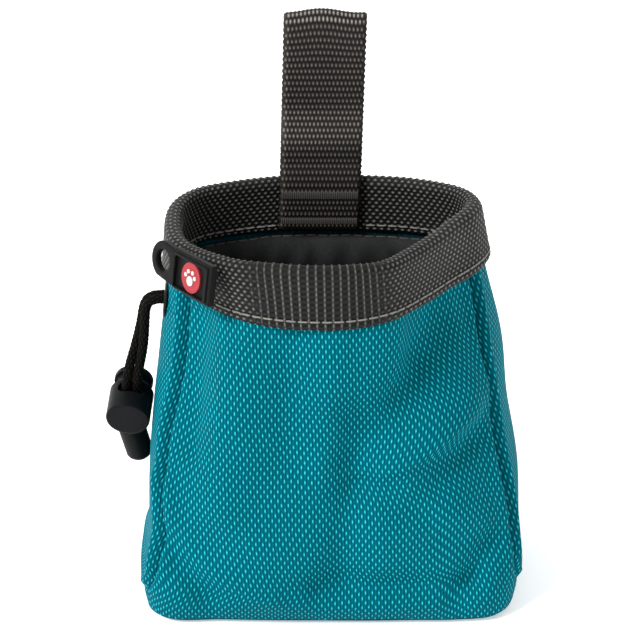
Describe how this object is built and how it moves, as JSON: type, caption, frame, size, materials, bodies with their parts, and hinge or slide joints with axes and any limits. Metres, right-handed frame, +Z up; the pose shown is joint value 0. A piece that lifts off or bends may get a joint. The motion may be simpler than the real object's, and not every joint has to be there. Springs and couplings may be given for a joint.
{
  "type": "treat pouch",
  "caption": "Soft sewn treat pouch with a webbing-bound open mouth, a belt loop standing at the back, a rubber tag and a drawstring with a sprung cord lock.",
  "frame": {"origin": "middle of the flat base, where the pouch rests", "axes": "+Z up, -Y towards the front of the pouch, the belt loop at +Y"},
  "size_m": [0.1012, 0.0667, 0.1355],
  "materials": {
    "teal_fabric": "ballistic weave polyester, coated inside",
    "rim_webbing": "heavy woven polyester webbing",
    "loop_webbing": "heavy woven polyester webbing",
    "grey_thread": "bonded polyester thread",
    "black_thread": "bonded polyester thread",
    "black_tape": "plain woven tape",
    "black_rubber": "matt moulded soft PVC",
    "red_rubber": "matt moulded soft PVC",
    "pale_rubber": "matt moulded soft PVC",
    "black_plastic": "moulded acetal with a faint sheen",
    "spring_steel": "drawn spring wire",
    "black_cord": "braided polyester cord"
  },
  "bodies": {
    "pouch": {"front_base_back_panel": "teal_fabric", "left_gusset": "teal_fabric", "right_gusset": "teal_fabric", "rim_binding": "rim_webbing", "rim_binding_stitches": "grey_thread", "drawstring_tunnel_tape": "black_tape", "left_seam_binding": "black_tape", "right_seam_binding": "black_tape", "belt_loop_tails": "loop_webbing", "belt_loop_stitches": "black_thread", "rubber_tag": "black_rubber", "tag_emblem": "red_rubber", "tag_paw_print": "pale_rubber", "eyelet": "black_plastic", "eyelet_washer": "black_plastic", "cord_end_bell": "black_plastic", "cord_end_knot": "black_cord", "drawstring": "black_cord", "drawstring_end_left": "black_cord", "drawstring_end_right": "black_cord"},
    "loop": {"belt_loop": "loop_webbing"},
    "cord_lock": {"cord_lock_barrel": "black_plastic", "cord_lock_spring": "spring_steel"},
    "lock_button": {"cord_lock_plunger": "black_plastic"}
  },
  "joints": [
    {"name": "belt_loop_fold", "type": "hinge", "parent": "pouch", "child": "loop", "pos_m": [-0.0016, 0.0294, 0.097], "axis": [1, 0, 0], "range_deg": [-100, 100]},
    {"name": "cord_lock_slide", "type": "slide", "parent": "pouch", "child": "cord_lock", "axis": [0.1001, -0.4004, 0.9109], "range_m": [0, 0.004]},
    {"name": "cord_lock_press", "type": "slide", "parent": "cord_lock", "child": "lock_button", "axis": [-0.0684, -0.9161, -0.3952], "range_m": [0, 0.0019], "stiffness_N_per_m": 600, "springref_m": -0.001, "deforming": ["cord_lock_spring"]}
  ]
}
